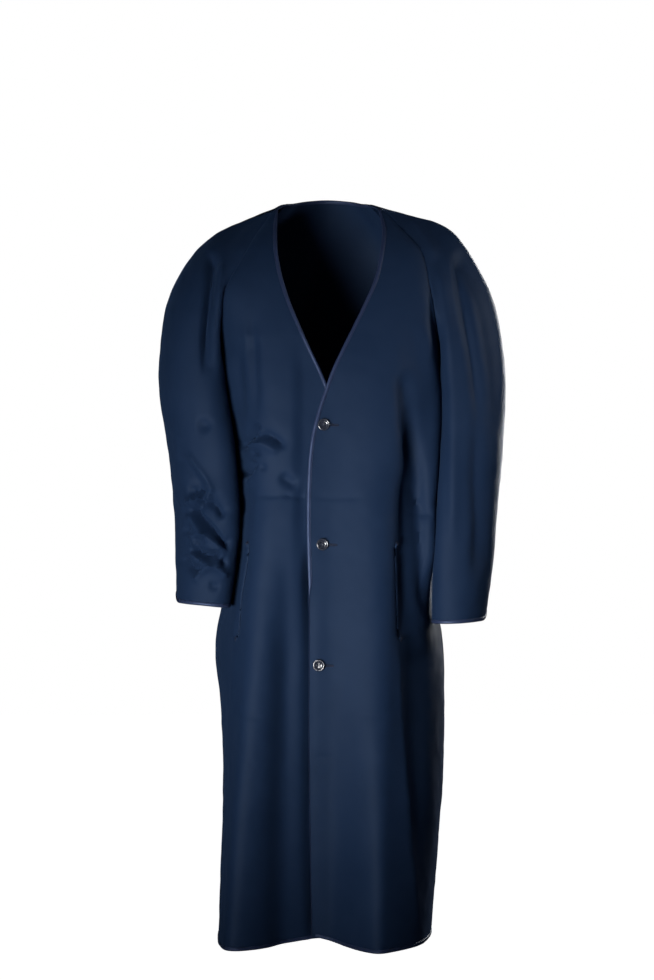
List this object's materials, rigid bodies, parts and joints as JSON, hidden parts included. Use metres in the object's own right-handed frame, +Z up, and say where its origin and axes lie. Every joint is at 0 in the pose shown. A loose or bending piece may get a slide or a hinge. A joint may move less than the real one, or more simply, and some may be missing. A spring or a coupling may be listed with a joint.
{
  "type": "raglan coat",
  "caption": "Collarless long coat in worn shape with raglan sleeves, a bound V neck, a buttoned front and slanted jetted pockets.",
  "frame": {"origin": "on the centre line, level with where the front raglan seams meet the neckline, between the shoulders that hold the coat up", "axes": "+Z up, -Y towards the coat's front, +X towards the wearer's left"},
  "size_m": [0.5516, 0.3349, 1.1789],
  "materials": {
    "navy_wool": "smooth twill wool with a slight sheen",
    "navy_satin": "satin binding",
    "dark_horn": "polished"
  },
  "bodies": {
    "root": {"front_left": "navy_wool", "front_right": "navy_wool", "back": "navy_wool", "sleeve_left_front": "navy_wool", "sleeve_left_back": "navy_wool", "sleeve_right_front": "navy_wool", "sleeve_right_back": "navy_wool", "pocket_left_jet_front": "navy_wool", "pocket_left_jet_side": "navy_wool", "pocket_right_jet_front": "navy_wool", "pocket_right_jet_side": "navy_wool", "edge_binding": "navy_satin", "hem_binding": "navy_satin", "cuff_binding_left": "navy_satin", "cuff_binding_right": "navy_satin", "button_1": "dark_horn", "button_2": "dark_horn", "button_3": "dark_horn"}
  },
  "joints": []
}
